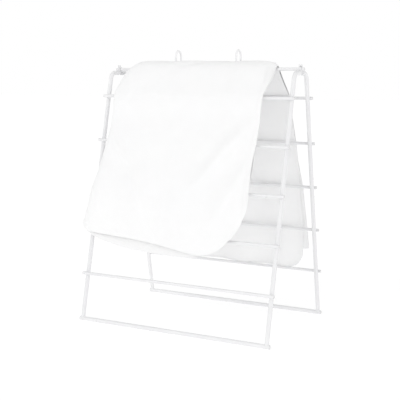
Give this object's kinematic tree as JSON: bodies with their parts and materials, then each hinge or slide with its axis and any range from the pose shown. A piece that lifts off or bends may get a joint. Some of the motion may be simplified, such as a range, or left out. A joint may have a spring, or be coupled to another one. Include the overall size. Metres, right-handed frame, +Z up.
{
  "type": "folding drying rack",
  "caption": "Folding A-frame drying rack of white coated steel tube: ladder frames hinged on a ridge bar, wire hanging hooks on top, and a folded cloth draped over the ridge.",
  "frame": {"origin": "on the floor, under the middle of the ridge bar", "axes": "+X along the rungs, +Y from the front ladder to the rear ladder, +Z up"},
  "size_m": [0.624, 0.4306, 0.8134],
  "materials": {
    "coated_tube": "smooth white powder coat, semi-gloss",
    "hinge": "white powder coat, worn where it turns",
    "hook_wire": "white coated wire",
    "end_plug": "moulded white polyethylene",
    "washer": "natural nylon",
    "cloth": "soft white cotton, plain weave"
  },
  "bodies": {
    "rear_frame": {"cloth_rear": "cloth", "hinge_washers": "washer", "left_hook": "hook_wire", "rear_foot_bar": "coated_tube", "rear_foot_plugs": "end_plug", "rear_left_hinge_tongue": "hinge", "rear_left_rail": "coated_tube", "rear_right_hinge_tongue": "hinge", "rear_right_rail": "coated_tube", "rear_rung_1": "coated_tube", "rear_rung_2": "coated_tube", "rear_rung_3": "coated_tube", "rear_rung_4": "coated_tube", "rear_rung_5": "coated_tube", "rear_rung_plugs": "end_plug", "ridge_bar": "coated_tube", "ridge_bar_plugs": "end_plug", "right_hook": "hook_wire"},
    "front_frame": {"cloth_front": "cloth", "front_foot_bar": "coated_tube", "front_foot_plugs": "end_plug", "front_left_hinge_tongue": "hinge", "front_left_rail": "coated_tube", "front_right_hinge_tongue": "hinge", "front_right_rail": "coated_tube", "front_rung_1": "coated_tube", "front_rung_2": "coated_tube", "front_rung_3": "coated_tube", "front_rung_4": "coated_tube", "front_rung_5": "coated_tube", "front_rung_plugs": "end_plug"}
  },
  "joints": [
    {"name": "fold", "type": "hinge", "parent": "rear_frame", "child": "front_frame", "pos_m": [0, 0, 0.75545], "axis": [1, 0, 0], "range_deg": [0, 30]}
  ]
}
